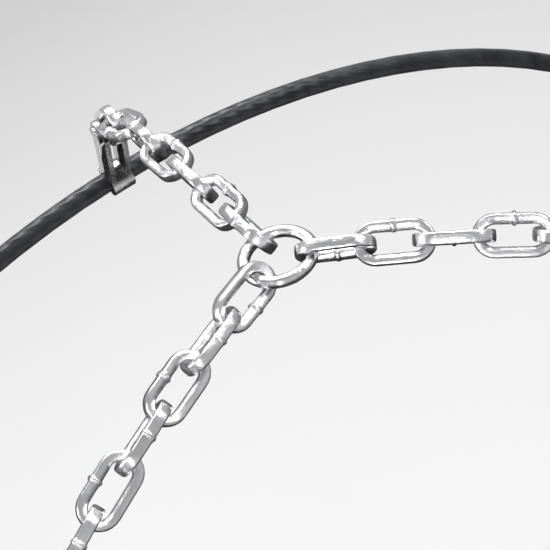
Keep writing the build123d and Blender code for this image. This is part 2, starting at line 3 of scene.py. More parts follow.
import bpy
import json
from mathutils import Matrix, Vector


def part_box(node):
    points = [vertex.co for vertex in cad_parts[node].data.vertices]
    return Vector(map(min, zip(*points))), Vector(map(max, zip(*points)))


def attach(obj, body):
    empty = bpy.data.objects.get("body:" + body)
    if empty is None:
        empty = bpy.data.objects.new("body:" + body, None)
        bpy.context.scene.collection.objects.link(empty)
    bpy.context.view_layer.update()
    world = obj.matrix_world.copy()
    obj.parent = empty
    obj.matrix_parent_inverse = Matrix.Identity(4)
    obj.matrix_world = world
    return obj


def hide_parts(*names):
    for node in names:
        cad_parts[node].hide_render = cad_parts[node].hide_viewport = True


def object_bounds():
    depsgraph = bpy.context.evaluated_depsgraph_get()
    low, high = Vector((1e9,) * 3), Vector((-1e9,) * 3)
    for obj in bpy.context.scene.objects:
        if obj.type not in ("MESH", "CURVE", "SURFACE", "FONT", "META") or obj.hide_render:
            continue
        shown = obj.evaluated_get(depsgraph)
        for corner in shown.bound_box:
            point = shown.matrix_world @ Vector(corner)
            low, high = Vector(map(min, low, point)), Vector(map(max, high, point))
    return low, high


bl_info = {
    "name": "Snow Chain Looks",
    "version": (1, 0, 0),
    "blender": (4, 5, 0),
    "location": "View3D > Sidebar > Snow Chain",
    "description": "Detailed links, rings, cable fittings and tension lock around a packed snow chain",
    "category": "Object",
}

import json
from math import atan2, cos, pi, radians, sin

import bmesh
import bpy
import numpy as np
from bpy.props import FloatProperty, FloatVectorProperty, IntProperty, PointerProperty
from mathutils import Matrix, Vector

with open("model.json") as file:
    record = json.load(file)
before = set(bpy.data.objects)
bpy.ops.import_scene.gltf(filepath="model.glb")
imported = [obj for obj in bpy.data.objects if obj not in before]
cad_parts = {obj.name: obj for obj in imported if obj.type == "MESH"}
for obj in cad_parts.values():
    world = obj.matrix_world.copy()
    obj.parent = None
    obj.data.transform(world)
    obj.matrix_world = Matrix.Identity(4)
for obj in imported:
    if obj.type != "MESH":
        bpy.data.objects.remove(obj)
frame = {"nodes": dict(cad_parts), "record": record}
NODES = frame["nodes"]
RECORD = frame["record"]
CAD_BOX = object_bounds()
BODY_OF = {node: body for body, nodes in RECORD["behaviour"]["bodies"].items() for node in nodes}
MM = 0.001
RING_NEAR = 24 * MM         # a ring's own links have their centres closer than this
UV_SIZE = 10 * MM           # one UV unit along or around a wire
SAME_PLACE = 2e-6           # corners closer than this are one corner
WELD_ZONE = 0.8 * MM        # half the length of wire that is searched for the weld


# ---------------------------------------------------------------- settings
class LinkSettings(bpy.types.PropertyGroup):
    """Sizes of the tread links and the side links."""
    length: FloatProperty(name="Length", description="Tread link, outside", default=22.8 * MM, unit="LENGTH")
    width: FloatProperty(name="Width", description="Tread link, outside", default=12.2 * MM, unit="LENGTH")
    thick: FloatProperty(name="Wire depth", description="In the link's plane", default=3.1 * MM,
                         unit="LENGTH")
    wide: FloatProperty(name="Wire width", description="Across the plane", default=3.6 * MM, unit="LENGTH")
    edge: FloatProperty(name="Edge", description="Radius of the wire's edges", default=0.65 * MM,
                        unit="LENGTH")
    weld: FloatProperty(name="Weld", description="Height of the weld", default=0.5 * MM, unit="LENGTH")
    side_wire: FloatProperty(name="Side wire", description="Round wire", default=3.8 * MM, unit="LENGTH")
    side_width: FloatProperty(name="Side link width", description="Outside", default=13.2 * MM, unit="LENGTH")
    play: FloatProperty(name="Play", description="Largest random roll of a far link", default=radians(1.2),
                        subtype="ANGLE")
    seed: IntProperty(name="Seed", description="Seed of the links' random shade and roll", default=7)


class RingSettings(bpy.types.PropertyGroup):
    """Sizes of the round rings."""
    radius: FloatProperty(name="Radius", description="Wire's centre line", default=9.85 * MM, unit="LENGTH")
    wire: FloatProperty(name="Wire", description="Diameter", default=3.6 * MM, unit="LENGTH")
    weld: FloatProperty(name="Weld", description="Height of the weld", default=0.12 * MM, unit="LENGTH")


class FinishSettings(bpy.types.PropertyGroup):
    """Colours of the metals and plastics."""
    zinc: FloatVectorProperty(name="Zinc", description="Zinc plate", default=(0.93, 0.93, 0.94), size=3,
                              subtype="COLOR")
    steel: FloatVectorProperty(name="Steel", description="Stamped steel", default=(0.60, 0.60, 0.61), size=3,
                               subtype="COLOR")
    sheath: FloatVectorProperty(name="Sheath", description="Cable sheath", default=(0.030, 0.031, 0.034),
                                size=3, subtype="COLOR")
    housing: FloatVectorProperty(name="Housing", description="Lock's plastic", default=(0.035, 0.036, 0.040),
                                 size=3, subtype="COLOR")


class StageSettings(bpy.types.PropertyGroup):
    """Camera and light."""
    azimuth: FloatProperty(name="Azimuth", description="View direction", default=radians(19.81),
                           subtype="ANGLE")
    elevation: FloatProperty(name="Elevation", description="Above level", default=radians(43.64),
                             subtype="ANGLE")
    roll: FloatProperty(name="Roll", description="Turn of the camera", default=radians(18.94),
                        subtype="ANGLE")
    distance: FloatProperty(name="Distance", description="Camera to ring", default=0.4767, unit="LENGTH")
    lens: FloatProperty(name="Lens", description="Focal length in millimetres", default=113.0)
    floor: FloatVectorProperty(name="Floor", description="Floor colour", default=(0.82, 0.82, 0.82), size=3,
                               subtype="COLOR")


SETTINGS = {"links": LinkSettings, "rings": RingSettings, "finish": FinishSettings, "stage": StageSettings}


def settings(context, group):
    return getattr(context.scene, "snow_chain_" + group)


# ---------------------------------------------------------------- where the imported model's pieces are
def islands(node):
    """Triangles of each loose solid of a CAD node, as arrays of corners."""
    mesh = NODES[node].data
    mesh.calc_loop_triangles()
    count = len(mesh.loop_triangles)
    triangles = np.zeros(count * 3, np.int32)
    mesh.loop_triangles.foreach_get("vertices", triangles)
    corners = np.zeros(len(mesh.vertices) * 3, np.float32)
    mesh.vertices.foreach_get("co", corners)
    corners = corners.reshape(-1, 3)
    _, shared = np.unique(np.round(corners / SAME_PLACE).astype(np.int64), axis=0, return_inverse=True)
    faces = shared.reshape(-1)[triangles].reshape(-1, 3)
    label = np.arange(shared.max() + 1)
    while True:
        lowest = label[faces].min(axis=1)
        new = label.copy()
        for corner in range(3):
            np.minimum.at(new, faces[:, corner], lowest)
        new = new[new]
        if (new == label).all():
            break
        label = new
    owner = label[faces[:, 0]]
    points = corners[triangles].reshape(-1, 3, 3).astype(float)
    return [points[owner == value] for value in np.unique(owner)]


def placement(solid):
    """Centre and axes of a link or ring: X its longest axis, Z its plane's normal, +Y its weld's side."""
    sides = np.cross(solid[:, 1] - solid[:, 0], solid[:, 2] - solid[:, 0])
    area = np.linalg.norm(sides, axis=1) / 2
    middle = (solid.mean(axis=1) * area[:, None]).sum(axis=0) / area.sum()
    local = solid - middle
    total = local.sum(axis=1)
    share = area / 12
    spread = np.einsum("t,tki,tkj->ij", share, local, local) + np.einsum("t,ti,tj->ij", share, total, total)
    axes = np.linalg.eigh(spread)[1][:, ::-1]
    flat = local.reshape(-1, 3) @ axes
    low, high = flat.min(axis=0), flat.max(axis=0)
    shift = (low + high) / 2
    near_middle = flat[np.abs(flat[:, 0] - shift[0]) < WELD_ZONE]
    if len(near_middle) and near_middle[:, 1].mean() < shift[1]:
        axes[:, 1] *= -1
        shift[1] *= -1
    axes[:, 2] = np.cross(axes[:, 0], axes[:, 1])
    shift[2] = 0.0
    return middle + axes @ shift, axes


def seats(node, weld=0.0):
    """Places of a node's pieces: centres and rotations, with the weld's own height taken out."""
    found = []
    for solid in islands(node):
        centre, axes = placement(solid)
        centre = centre - axes[:, 1] * weld / 2
        found.append((Vector(centre), Matrix(axes.tolist()).to_euler()))
    return sorted(found, key=lambda seat: tuple(round(value, 5) for value in seat[0]))


def clear_of_links(ring_seats, link_centres):
    """Turns each ring about its own axis, so that its weld lies in the widest gap between its links."""
    turned = []
    for centre, turn in ring_seats:
        axes = turn.to_matrix()
        away = [link - centre for link in link_centres]
        near = [axes.transposed() @ offset for offset in away if offset.length < RING_NEAR]
        angles = sorted(atan2(place.y, place.x) for place in near)
        if angles:
            following = angles[1:] + [angles[0] + 2 * pi]
            gaps = [(after - before, before) for before, after in zip(angles, following)]
            width, start = max(gaps)
            axes = axes @ Matrix.Rotation(start + width / 2, 3, "Z")
        turned.append((centre, axes.to_euler()))
    return turned


# ---------------------------------------------------------------- wire shapes
def d_profile(thick, wide, edge, detail):
    """Section of the tread wire: a flat, crisp outer face and a round inner side, as (out, across)."""
    half, outer = wide / 2, thick / 2
    points = [(outer + 0.02 * wide, 0.0)] if detail > 1 else []
    corners = 3 if detail > 1 else 1
    for k in range(corners + 1):
        angle = pi / 2 * k / corners
        points.append((outer - edge + edge * cos(angle), half - edge + edge * sin(angle)))
    turns = 7 if detail > 1 else 4
    for k in range(turns + 1):
        angle = pi * k / turns
        points.append((-outer + half - half * sin(angle), half * cos(angle)))
    for k in range(corners, -1, -1):
        angle = pi / 2 * k / corners
        points.append((outer - edge + edge * cos(angle), -half + edge - edge * sin(angle)))
    return points


def round_profile(radius, count):
    return [(radius * cos(2 * pi * k / count), radius * sin(2 * pi * k / count)) for k in range(count)]


def link_path(length, width, thick, bow_steps, leg_stops):
    """Stations round a link: centre, outward direction and distance along the +Y leg from its middle."""
    radius = (width - thick) / 2
    reach = (length - width) / 2
    stations = [(Vector((x * reach, radius, 0)), Vector((0, 1, 0)), x * reach) for x in leg_stops]
    for k in range(1, bow_steps):
        angle = pi / 2 - pi * k / bow_steps
        out = Vector((cos(angle), sin(angle), 0))
        stations.append((Vector((reach, 0, 0)) + out * radius, out, None))
    for x in (1.0, 0.5, 0.0, -0.5, -1.0):
        stations.append((Vector((x * reach, -radius, 0)), Vector((0, -1, 0)), None))
    for k in range(1, bow_steps):
        angle = -pi / 2 - pi * k / bow_steps
        out = Vector((cos(angle), sin(angle), 0))
        stations.append((Vector((-reach, 0, 0)) + out * radius, out, None))
    return stations


UPSET_REACH = 2.2           # half lengths of the thickened wire, the collar and its flank, in millimetres
COLLAR = 0.45
COLLAR_FLANK = 0.16


def weld_swell(along, around, height):
    """Height of the weld over the wire at a distance from its middle: a collar with uneven burrs."""
    if along is None:
        return 0.0
    away = abs(along) / MM
    upset = 0.10 * max(0.0, 1 - away / UPSET_REACH) ** 2
    collar = 1.0 if away < COLLAR else max(0.0, 1 - (away - COLLAR) / COLLAR_FLANK)
    burr = 0.82 + 0.22 * sin(3 * around + 1.3) + 0.14 * sin(7 * around + along / MM * 3)
    return height * (upset + collar * burr)


def swept_ring(name, stations, profile, weld):
    """Closed tube: the profile at each station, with UVs along and round the wire."""
    count, sides = len(stations), len(profile)
    vertices, faces, uvs = [], [], []
    run, around = [0.0], [0.0]
    for k in range(1, count + 1):
        run.append(run[-1] + (stations[k % count][0] - stations[k - 1][0]).length)
    for j in range(1, sides + 1):
        step = Vector(profile[j % sides]) - Vector(profile[j - 1])
        around.append(around[-1] + step.length)
    for centre, out, along in stations:
        for j, (outward, across) in enumerate(profile):
            direction = Vector((outward, across))
            swell = weld_swell(along, atan2(across, outward), weld)
            direction = direction * (1 + swell / max(direction.length, 1e-6))
            vertices.append(centre + out * direction.x + Vector((0, 0, direction.y)))
    for i in range(count):
        for j in range(sides):
            after, beside = (i + 1) % count, (j + 1) % sides
            faces.append((i * sides + j, after * sides + j, after * sides + beside, i * sides + beside))
            u0, u1 = run[i] / UV_SIZE, run[i + 1] / UV_SIZE
            v0, v1 = around[j] / UV_SIZE, around[j + 1] / UV_SIZE
            uvs += [u0, v0, u1, v0, u1, v1, u0, v1]
    mesh = bpy.data.meshes.new(name)
    mesh.from_pydata(vertices, [], faces)
    mesh.uv_layers.new(name="UVMap").data.foreach_set("uv", uvs)
    work = bmesh.new()
    work.from_mesh(mesh)
    bmesh.ops.recalc_face_normals(work, faces=work.faces)
    work.to_mesh(mesh)
    work.free()
    for polygon in mesh.polygons:
        polygon.use_smooth = True
    return mesh


WELD_STOPS = (-0.8, -0.42, -0.22, -0.13, -0.112, -0.09, -0.04, 0.0, 0.04, 0.09, 0.112, 0.13, 0.22, 0.42, 0.8)
PLAIN_WELD_STOPS = (-0.13, -0.08, 0.0, 0.08, 0.13)


def tread_link_mesh(sizes, detail):
    """Welded link of D-section wire."""
    stops = (-1.0,) + (WELD_STOPS if detail > 1 else PLAIN_WELD_STOPS) + (1.0,)
    path = link_path(sizes.length, sizes.width, sizes.thick, 14 if detail > 1 else 7, stops)
    profile = d_profile(sizes.thick, sizes.wide, sizes.edge, detail)
    return swept_ring("tread_link_shape", path, profile, sizes.weld)


def side_link_mesh(sizes, length):
    """Welded link of round wire."""
    path = link_path(length, sizes.side_width, sizes.side_wire, 8, (-1.0,) + PLAIN_WELD_STOPS + (1.0,))
    return swept_ring("side_link_shape", path, round_profile(sizes.side_wire / 2, 9), sizes.weld * 0.5)


def ring_mesh(sizes, steps, sides):
    """Round ring with a faint weld."""
    stations = []
    for k in range(steps):
        angle = 2 * pi * k / steps
        out = Vector((cos(angle), sin(angle), 0))
        along = sizes.radius * ((angle + pi) % (2 * pi) - pi)
        stations.append((out * sizes.radius, out, along))
    return swept_ring("junction_ring_shape", stations, round_profile(sizes.wire / 2, sides), sizes.weld)


# ---------------------------------------------------------------- repeats by Geometry Nodes
def input_socket(tree, name, kind, default=None):
    socket = tree.interface.new_socket(name, in_out="INPUT", socket_type=kind)
    if default is not None:
        socket.default_value = default
    return socket


def chain_tree():
    """Puts the link object on each point at its stored turn, with a random roll and shade."""
    name = "chain_of_links"
    if name in bpy.data.node_groups:
        return bpy.data.node_groups[name]
    tree = bpy.data.node_groups.new(name, "GeometryNodeTree")
    tree.is_modifier = True
    input_socket(tree, "Places", "NodeSocketGeometry")
    input_socket(tree, "Link", "NodeSocketObject")
    input_socket(tree, "Size", "NodeSocketFloat", 1.0)
    input_socket(tree, "Play", "NodeSocketFloat", 0.0)
    input_socket(tree, "Seed", "NodeSocketInt", 1)
    input_socket(tree, "Finish", "NodeSocketMaterial")
    tree.interface.new_socket("Chain", in_out="OUTPUT", socket_type="NodeSocketGeometry")
    add, join = tree.nodes.new, tree.links.new
    start, end = add("NodeGroupInput"), add("NodeGroupOutput")
    shape = add("GeometryNodeObjectInfo")
    turn = add("GeometryNodeInputNamedAttribute")
    turn.data_type = "FLOAT_VECTOR"
    turn.inputs["Name"].default_value = "turn"
    to_rotation = add("FunctionNodeEulerToRotation")
    roll = add("FunctionNodeRandomValue")
    roll.data_type = "FLOAT"
    low = add("ShaderNodeMath")
    low.operation = "MULTIPLY"
    low.inputs[1].default_value = -1.0
    axis = add("ShaderNodeCombineXYZ")
    roll_rotation = add("FunctionNodeEulerToRotation")
    rotate = add("FunctionNodeRotateRotation")
    rotate.rotation_space = "LOCAL"
    place = add("GeometryNodeInstanceOnPoints")
    shade = add("FunctionNodeRandomValue")
    shade.data_type = "FLOAT"
    store = add("GeometryNodeStoreNamedAttribute")
    store.domain = "INSTANCE"
    store.data_type = "FLOAT"
    store.inputs["Name"].default_value = "shade"
    realize = add("GeometryNodeRealizeInstances")
    finish = add("GeometryNodeSetMaterial")
    float_sockets = [socket for socket in roll.inputs if socket.type == "VALUE"]
    join(start.outputs["Link"], shape.inputs["Object"])
    join(start.outputs["Play"], low.inputs[0])
    join(low.outputs[0], float_sockets[0])
    join(start.outputs["Play"], float_sockets[1])
    join(start.outputs["Seed"], roll.inputs["Seed"])
    join([socket for socket in roll.outputs if socket.type == "VALUE"][0], axis.inputs["X"])
    join(axis.outputs[0], roll_rotation.inputs[0])
    join(turn.outputs["Attribute"], to_rotation.inputs[0])
    join(to_rotation.outputs[0], rotate.inputs[0])
    join(roll_rotation.outputs[0], rotate.inputs[1])
    join(start.outputs["Places"], place.inputs["Points"])
    join(shape.outputs["Geometry"], place.inputs["Instance"])
    join(rotate.outputs[0], place.inputs["Rotation"])
    join(start.outputs["Size"], place.inputs["Scale"])
    join(start.outputs["Seed"], shade.inputs["Seed"])
    join(place.outputs[0], store.inputs["Geometry"])
    join([socket for socket in shade.outputs if socket.type == "VALUE"][0], store.inputs["Value"])
    join(store.outputs[0], realize.inputs[0])
    join(realize.outputs[0], finish.inputs["Geometry"])
    join(start.outputs["Finish"], finish.inputs["Material"])
    join(finish.outputs[0], end.inputs[0])
    return tree


def set_inputs(modifier, **values):
    """Sets a tree's named inputs through their identifiers."""
    for item in modifier.node_group.interface.items_tree:
        if item.item_type == "SOCKET" and item.in_out == "INPUT" and item.name in values:
            modifier[item.identifier] = values[item.name]


def chain_piece(node, shape, finish, places, play, seed):
    """One plain mesh of copies of shape on the node's places, which stands for the CAD node."""
    mesh = bpy.data.meshes.new(node + "_places")
    mesh.from_pydata([place[0] for place in places], [], [])
    turns = mesh.attributes.new("turn", "FLOAT_VECTOR", "POINT")
    turns.data.foreach_set("vector", [value for place in places for value in place[1]])
    holder = bpy.data.objects.new(node + "_holder", mesh)
    bpy.context.scene.collection.objects.link(holder)
    modifier = holder.modifiers.new("chain", "NODES")
    modifier.node_group = chain_tree()
    set_inputs(modifier, Link=shape, Size=1.0, Play=play, Seed=seed, Finish=finish)
    bpy.context.view_layer.update()
    graph = bpy.context.evaluated_depsgraph_get()
    done = bpy.data.meshes.new_from_object(holder.evaluated_get(graph), preserve_all_data_layers=True,
                                           depsgraph=graph)
    if not done.polygons:
        raise RuntimeError(node + ": the link tree made no faces")
    bpy.data.objects.remove(holder)
    return stand_for(node, done)


def stand_for(node, mesh):
    """Object of a finished mesh that replaces the CAD node and rides on its body."""
    mesh.name = node + "_look"
    piece = bpy.data.objects.new(node + "_look", mesh)
    bpy.context.scene.collection.objects.link(piece)
    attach(piece, BODY_OF[node])
    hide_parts(node)
    return piece


def shape_object(mesh):
    """Unlinked object that only lends its mesh to the link tree."""
    return bpy.data.objects.new(mesh.name, mesh)


# ---------------------------------------------------------------- softened copies of CAD pieces
def softened(node, finish, edge, segments=2, ribs=()):
    """Copy of a CAD node with its edges rounded and any ribs added, which stands for it."""
    mesh = NODES[node].data.copy()
    mesh.materials.clear()
    work = bmesh.new()
    work.from_mesh(mesh)
    bmesh.ops.remove_doubles(work, verts=work.verts, dist=4e-6)
    bmesh.ops.dissolve_limit(work, angle_limit=radians(1.0), verts=work.verts, edges=work.edges)
    sharp = [e for e in work.edges if len(e.link_faces) == 2 and e.calc_face_angle() > radians(32)]
    bmesh.ops.bevel(work, geom=sharp, offset=edge, offset_type="OFFSET", segments=segments, profile=0.6,
                    affect="EDGES", clamp_overlap=True)
    for rib in ribs:
        corners = bmesh.ops.create_cube(work, size=1.0, matrix=rib)["verts"]
        edges = {e for corner in corners for e in corner.link_edges}
        bmesh.ops.bevel(work, geom=list(edges), offset=0.3 * MM, offset_type="OFFSET", segments=2,
                        profile=0.5, affect="EDGES", clamp_overlap=True)
    bmesh.ops.triangulate(work, faces=[face for face in work.faces if len(face.verts) > 4])
    work.to_mesh(mesh)
    work.free()
    mesh.materials.append(finish)
    for polygon in mesh.polygons:
        polygon.use_smooth = True
    mesh.set_sharp_from_angle(angle=radians(38))
    return stand_for(node, mesh)


# ---------------------------------------------------------------- finishes
class Finish:
    """A material with short calls for its nodes."""

    def __init__(self, name, colour, metallic):
        self.material = bpy.data.materials.new(name)
        self.material.use_nodes = True
        self.tree = self.material.node_tree
        self.shader = self.tree.nodes["Principled BSDF"]
        self.shader.inputs["Metallic"].default_value = metallic
        self.colour = colour
        self.where = self.node("ShaderNodeTexCoord")

    def node(self, kind, **inputs):
        made = self.tree.nodes.new(kind)
        for name, value in inputs.items():
            made.inputs[name.replace("_", " ")].default_value = value
        return made

    def join(self, output, target):
        self.tree.links.new(output, target)

    def noise(self, scale, detail=3.0, stretch=None, source="Object"):
        made = self.node("ShaderNodeTexNoise", Scale=scale, Detail=detail, Roughness=0.55)
        place = self.where.outputs[source]
        if stretch:
            mapping = self.node("ShaderNodeMapping", Scale=stretch)
            self.join(place, mapping.inputs["Vector"])
            place = mapping.outputs["Vector"]
        self.join(place, made.inputs["Vector"])
        return made.outputs["Fac"]

    def ranged(self, value, low, high, start=0.3, end=0.7):
        made = self.node("ShaderNodeMapRange", From_Min=start, From_Max=end, To_Min=low, To_Max=high)
        self.join(value, made.inputs["Value"])
        return made.outputs["Result"]

    def maths(self, operation, first, second):
        made = self.node("ShaderNodeMath")
        made.operation = operation
        for socket, value in zip(made.inputs, (first, second)):
            if isinstance(value, (int, float)):
                socket.default_value = value
            else:
                self.join(value, socket)
        return made.outputs[0]

    def shaded(self, brightness):
        """Base colour, scaled by a brightness that varies over the surface."""
        made = self.node("ShaderNodeVectorMath")
        made.operation = "SCALE"
        made.inputs[0].default_value = self.colour
        self.join(brightness, made.inputs["Scale"])
        self.join(made.outputs["Vector"], self.shader.inputs["Base Color"])

    def bumps(self, *layers):
        """Stacks bump layers of (height, strength, distance)."""
        normal = None
        for height, strength, distance in layers:
            made = self.node("ShaderNodeBump", Strength=strength, Distance=distance)
            self.join(height, made.inputs["Height"])
            if normal is not None:
                self.join(normal, made.inputs["Normal"])
            normal = made.outputs["Normal"]
        self.join(normal, self.shader.inputs["Normal"])


def zinc_plate(name, colour, roughness, drawn, dents, by_link=True):
    """Bright zinc on drawn wire: lengthwise draw marks, handling dents, dull patches."""
    finish = Finish(name, colour, 1.0)
    marks = finish.noise(6.0, 4.0, (0.5, 9.0, 1.0), "UV") if by_link else finish.noise(900, 4.0)
    patches = finish.noise(150, 3.0)
    nicks = finish.noise(620, 2.0)
    fine = finish.noise(2600, 2.0)
    tone = finish.maths("MULTIPLY", finish.ranged(patches, 0.90, 1.06), finish.ranged(marks, 0.90, 1.05))
    if by_link:
        shade = finish.node("ShaderNodeAttribute")
        shade.attribute_name = "shade"
        tone = finish.maths("MULTIPLY", tone, finish.ranged(shade.outputs["Fac"], 0.93, 1.03, 0.0, 1.0))
    finish.shaded(tone)
    rough = finish.maths("ADD", finish.ranged(marks, roughness - 0.06, roughness + 0.10),
                         finish.ranged(patches, -0.04, 0.10))
    finish.join(rough, finish.shader.inputs["Roughness"])
    finish.bumps((nicks, dents, 0.35 * MM), (marks, drawn, 0.16 * MM), (fine, 0.05, 0.05 * MM))
    return finish.material


def stamped_steel(name, colour, roughness):
    """Plated stamped steel: tumbled surface with shallow nicks."""
    finish = Finish(name, colour, 1.0)
    patches = finish.noise(120, 4.0)
    nicks = finish.noise(700, 3.0)
    finish.shaded(finish.ranged(patches, 0.82, 1.08))
    finish.join(finish.ranged(nicks, roughness - 0.06, roughness + 0.12), finish.shader.inputs["Roughness"])
    finish.bumps((nicks, 0.22, 0.2 * MM), (patches, 0.15, 0.3 * MM))
    return finish.material


def moulded_plastic(name, colour, roughness):
    """Moulded plastic with a fine spark grain and rubbed patches."""
    finish = Finish(name, colour, 0.0)
    grain = finish.noise(3200, 2.0)
    rubbed = finish.noise(70, 4.0)
    finish.shaded(finish.ranged(rubbed, 0.8, 1.5))
    finish.join(finish.ranged(rubbed, roughness + 0.08, roughness - 0.10), finish.shader.inputs["Roughness"])
    finish.bumps((grain, 0.35, 0.10 * MM), (rubbed, 0.1, 0.2 * MM))
    return finish.material


LAY_ROUND_WHEEL = 260.0     # the strands' spiral: its phase per radian round the wheel
LAY_STRANDS = 6.0           # and the number of strands round the cable


def cable_sheath(name, colour, roughness):
    """Plastic sheath drawn tight over a twisted cable: the strands show as a slow spiral."""
    finish = Finish(name, colour, 0.0)
    low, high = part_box("inner_cable")
    radius = (high.x - low.x - (high.y - low.y)) / 2
    place = finish.node("ShaderNodeSeparateXYZ")
    finish.join(finish.where.outputs["Object"], place.inputs[0])
    x, y, z = place.outputs[:3]
    round_wheel = finish.maths("ARCTAN2", x, z)
    squares = finish.maths("ADD", finish.maths("MULTIPLY", x, x), finish.maths("MULTIPLY", z, z))
    from_axis = finish.maths("SQRT", squares, 0)
    across = finish.maths("SUBTRACT", y, (low.y + high.y) / 2)
    round_cable = finish.maths("ARCTAN2", across, finish.maths("SUBTRACT", from_axis, radius))
    phase = finish.maths("ADD", finish.maths("MULTIPLY", round_wheel, LAY_ROUND_WHEEL),
                         finish.maths("MULTIPLY", round_cable, LAY_STRANDS))
    spiral = finish.maths("SINE", phase, 0)
    scuffs = finish.noise(90, 5.0)
    fine = finish.noise(1500, 2.0)
    finish.shaded(finish.ranged(scuffs, 0.8, 1.7))
    finish.join(finish.ranged(scuffs, roughness - 0.08, roughness + 0.16), finish.shader.inputs["Roughness"])
    finish.bumps((spiral, 0.35, 0.25 * MM), (fine, 0.15, 0.08 * MM))
    return finish.material


def plain_pale(name, colour):
    """Matte floor."""
    finish = Finish(name, colour, 0.0)
    finish.shaded(finish.ranged(finish.noise(2.0), 0.99, 1.01))
    finish.shader.inputs["Roughness"].default_value = 0.85
    return finish.material


# ---------------------------------------------------------------- operators
SINGLE_PREFIXES = ("shoulder_link_", "short_diagonal_link_", "long_diagonal_link_")
TREAD_GROUPS = ("short_diagonals", "long_diagonals", "inner_cross_strands", "outer_cross_strands")
SIDE_NODES = ("side_chain", "tension_chain", "lock_eye_chain", "tail_link_1", "tail_link_2")
RING_NODES = ("junction_ring", "inner_row_rings", "outer_row_rings", "side_rings")
WELD_PROUD = 0.4 * MM       # height of the CAD link's weld


class SNOWCHAIN_OT_tread_links(bpy.types.Operator):
    """Lay the D-section links of the tread net"""
    bl_idname = "snowchain.tread_links"
    bl_label = "Tread Links"

    def execute(self, context):
        sizes, colours = settings(context, "links"), settings(context, "finish")
        finish = zinc_plate("zinc_link", colours.zinc, 0.15, 0.50, 0.30)
        near = shape_object(tread_link_mesh(sizes, 2))
        far = shape_object(tread_link_mesh(sizes, 1))
        singles = [node for node in NODES if node.startswith(SINGLE_PREFIXES)]
        for k, node in enumerate(singles):
            chain_piece(node, near, finish, seats(node, WELD_PROUD), 0.0, sizes.seed + k)
        for k, node in enumerate(TREAD_GROUPS):
            chain_piece(node, far, finish, seats(node, WELD_PROUD), sizes.play, sizes.seed + 100 + k)
        return {"FINISHED"}


class SNOWCHAIN_OT_rings(bpy.types.Operator):
    """Lay the round rings of the net and the side chain"""
    bl_idname = "snowchain.rings"
    bl_label = "Rings"

    def execute(self, context):
        sizes, colours = settings(context, "rings"), settings(context, "finish")
        finish = zinc_plate("zinc_ring", colours.zinc, 0.12, 0.40, 0.30)
        near = shape_object(ring_mesh(sizes, 96, 24))
        far = shape_object(ring_mesh(sizes, 32, 10))
        link_nodes = [node for node in NODES if node.startswith(SINGLE_PREFIXES)]
        link_nodes += TREAD_GROUPS + ("side_chain", "tension_chain", "lock_eye_chain")
        centres = [centre for node in link_nodes for centre, _ in seats(node)]
        for k, node in enumerate(RING_NODES):
            shape = near if node == "junction_ring" else far
            chain_piece(node, shape, finish, clear_of_links(seats(node), centres), 0.0, 40 + k)
        return {"FINISHED"}


class SNOWCHAIN_OT_side_chain(bpy.types.Operator):
    """Lay the round-wire links of the side chain, the tension chain and its tail"""
    bl_idname = "snowchain.side_chain"
    bl_label = "Side Chain"

    def execute(self, context):
        sizes, colours = settings(context, "links"), settings(context, "finish")
        finish = zinc_plate("zinc_side_link", colours.zinc, 0.26, 0.20, 0.30)
        low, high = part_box("tail_link_1")
        shape = shape_object(side_link_mesh(sizes, high.z - low.z))
        for k, node in enumerate(SIDE_NODES):
            chain_piece(node, shape, finish, seats(node), 0.0, sizes.seed + 300 + k)
        return {"FINISHED"}


class SNOWCHAIN_OT_cable(bpy.types.Operator):
    """Finish the inner cable with its ferrules, pins, hook and clips"""
    bl_idname = "snowchain.cable"
    bl_label = "Inner Cable"

    def execute(self, context):
        colours = settings(context, "finish")
        NODES["inner_cable"].data.materials.clear()
        NODES["inner_cable"].data.materials.append(cable_sheath("cable_sheath", colours.sheath, 0.38))
        crimped = stamped_steel("ferrule_steel", colours.steel, 0.30)
        stamped = stamped_steel("forged_steel", colours.steel, 0.24)
        for node in ("cable_ferrule_hook", "cable_ferrule_catch"):
            softened(node, crimped, 0.35 * MM)
        for node in ("cable_clip", "cable_clips", "cable_hook", "closing_hook", "tail_hook"):
            softened(node, stamped, 0.3 * MM)
        for node in ("cable_pins", "cable_clip_pin", "cable_clip_pins"):
            softened(node, stamped, 0.25 * MM)
        return {"FINISHED"}


RIB_SIZE = (1.3 * MM, 9.0 * MM, 1.1 * MM)
RIB_STEP = 4.2 * MM
RIBS_EACH_WAY = 3


class SNOWCHAIN_OT_lock(bpy.types.Operator):
    """Finish the tension lock"""
    bl_idname = "snowchain.lock"
    bl_label = "Tension Lock"

    def execute(self, context):
        colours = settings(context, "finish")
        housing = moulded_plastic("lock_housing", colours.housing, 0.45)
        steel = stamped_steel("lock_steel", colours.steel, 0.26)
        spring = stamped_steel("spring_steel", (0.42, 0.42, 0.45), 0.30)
        softened("lock_base", housing, 0.5 * MM, 3)
        softened("lock_cover", housing, 0.5 * MM, 3, self.grip_ribs())
        for node, finish, edge in (("lock_pawl", steel, 0.35), ("lock_rivets", steel, 0.3),
                                   ("pawl_pin", steel, 0.2), ("pawl_spring", spring, 0.06)):
            softened(node, finish, edge * MM)
        return {"FINISHED"}

    def grip_ribs(self):
        """Boxes of the finger ribs on the cover, across the lock between its two pairs of rivets."""
        corner, *others = [centre for centre, _ in seats("lock_rivets")]
        near, far, opposite = sorted(others, key=lambda rivet: (rivet - corner).length)
        middle = (corner + opposite) / 2
        middle.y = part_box("lock_cover")[1].y
        along, across = (far - corner).normalized(), (near - corner).normalized()
        turn = Matrix((along, across, along.cross(across))).transposed().to_4x4()
        size = Matrix.Diagonal((*RIB_SIZE, 1.0))
        steps = range(-RIBS_EACH_WAY, RIBS_EACH_WAY + 1)
        return [Matrix.Translation(middle + along * step * RIB_STEP) @ turn @ size for step in steps]


